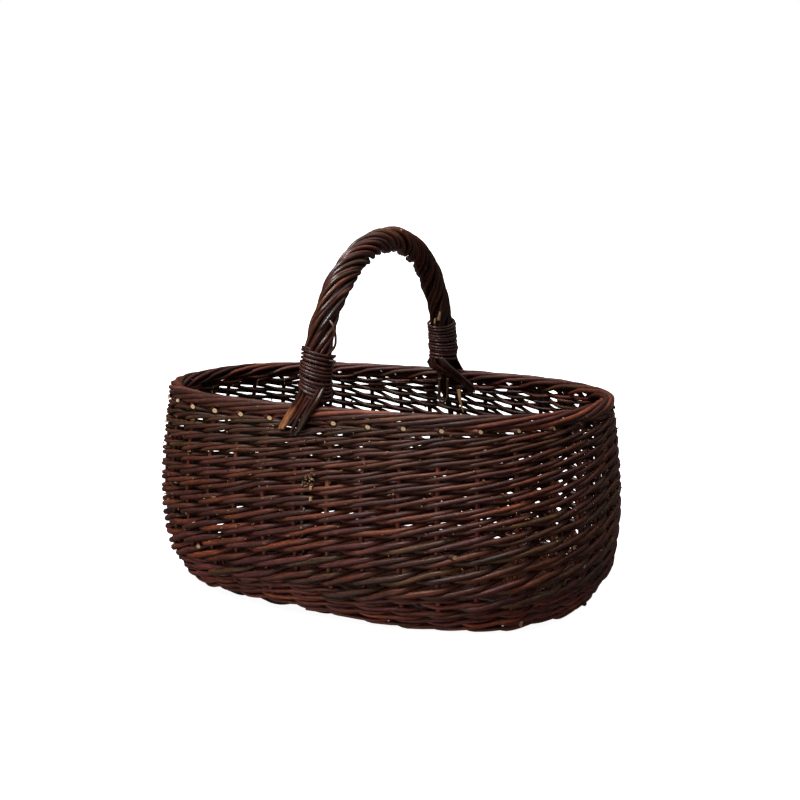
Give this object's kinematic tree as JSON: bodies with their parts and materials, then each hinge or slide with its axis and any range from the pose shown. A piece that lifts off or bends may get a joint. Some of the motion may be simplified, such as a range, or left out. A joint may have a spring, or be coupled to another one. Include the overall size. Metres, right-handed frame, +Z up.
{
  "type": "wicker firewood basket",
  "caption": "Oval woven willow firewood basket with a flat base, bellied sides, a border of bent stakes and a roped bow handle bound above each foot.",
  "frame": {"origin": "on the floor, under the middle of the base", "axes": "+X along the basket's length, +Y across it along the handle, +Z up"},
  "size_m": [0.498, 0.3382, 0.3771],
  "materials": {
    "base_willow": "matte bark",
    "stake_bark": "satin bark",
    "weaver_bark": "satin bark",
    "handle_bark": "satin bark",
    "binding_bark": "satin bark"
  },
  "bodies": {
    "root": {"base_weave_lower": "base_willow", "base_weave_upper": "base_willow", "base_stick_long_1": "base_willow", "base_stick_long_2": "base_willow", "base_stick_short_1": "base_willow", "base_stick_short_2": "base_willow", "base_stick_short_3": "base_willow", "stake_01": "stake_bark", "stake_02": "stake_bark", "stake_03": "stake_bark", "stake_04": "stake_bark", "stake_05": "stake_bark", "stake_06": "stake_bark", "stake_07": "stake_bark", "stake_08": "stake_bark", "stake_09": "stake_bark", "stake_10": "stake_bark", "stake_11": "stake_bark", "stake_12": "stake_bark", "stake_13": "stake_bark", "stake_14": "stake_bark", "stake_15": "stake_bark", "stake_16": "stake_bark", "stake_17": "stake_bark", "stake_18": "stake_bark", "stake_19": "stake_bark", "stake_20": "stake_bark", "stake_21": "stake_bark", "stake_22": "stake_bark", "stake_23": "stake_bark", "stake_24": "stake_bark", "stake_25": "stake_bark", "stake_26": "stake_bark", "stake_27": "stake_bark", "stake_28": "stake_bark", "stake_29": "stake_bark", "stake_30": "stake_bark", "stake_31": "stake_bark", "stake_32": "stake_bark", "stake_33": "stake_bark", "stake_34": "stake_bark", "stake_35": "stake_bark", "stake_36": "stake_bark", "upsett_wale": "weaver_bark", "side_course_1": "weaver_bark", "side_course_2": "weaver_bark", "side_course_3": "weaver_bark", "side_course_4": "weaver_bark", "side_course_5": "weaver_bark", "side_course_6": "weaver_bark", "top_wale": "weaver_bark", "handle_bow": "handle_bark", "roping_rod_a1": "handle_bark", "roping_rod_a2": "handle_bark", "roping_rod_a3": "handle_bark", "roping_rod_b1": "handle_bark", "roping_rod_b2": "handle_bark", "roping_rod_b3": "handle_bark", "handle_binding_front": "binding_bark", "handle_binding_back": "binding_bark"}
  },
  "joints": []
}
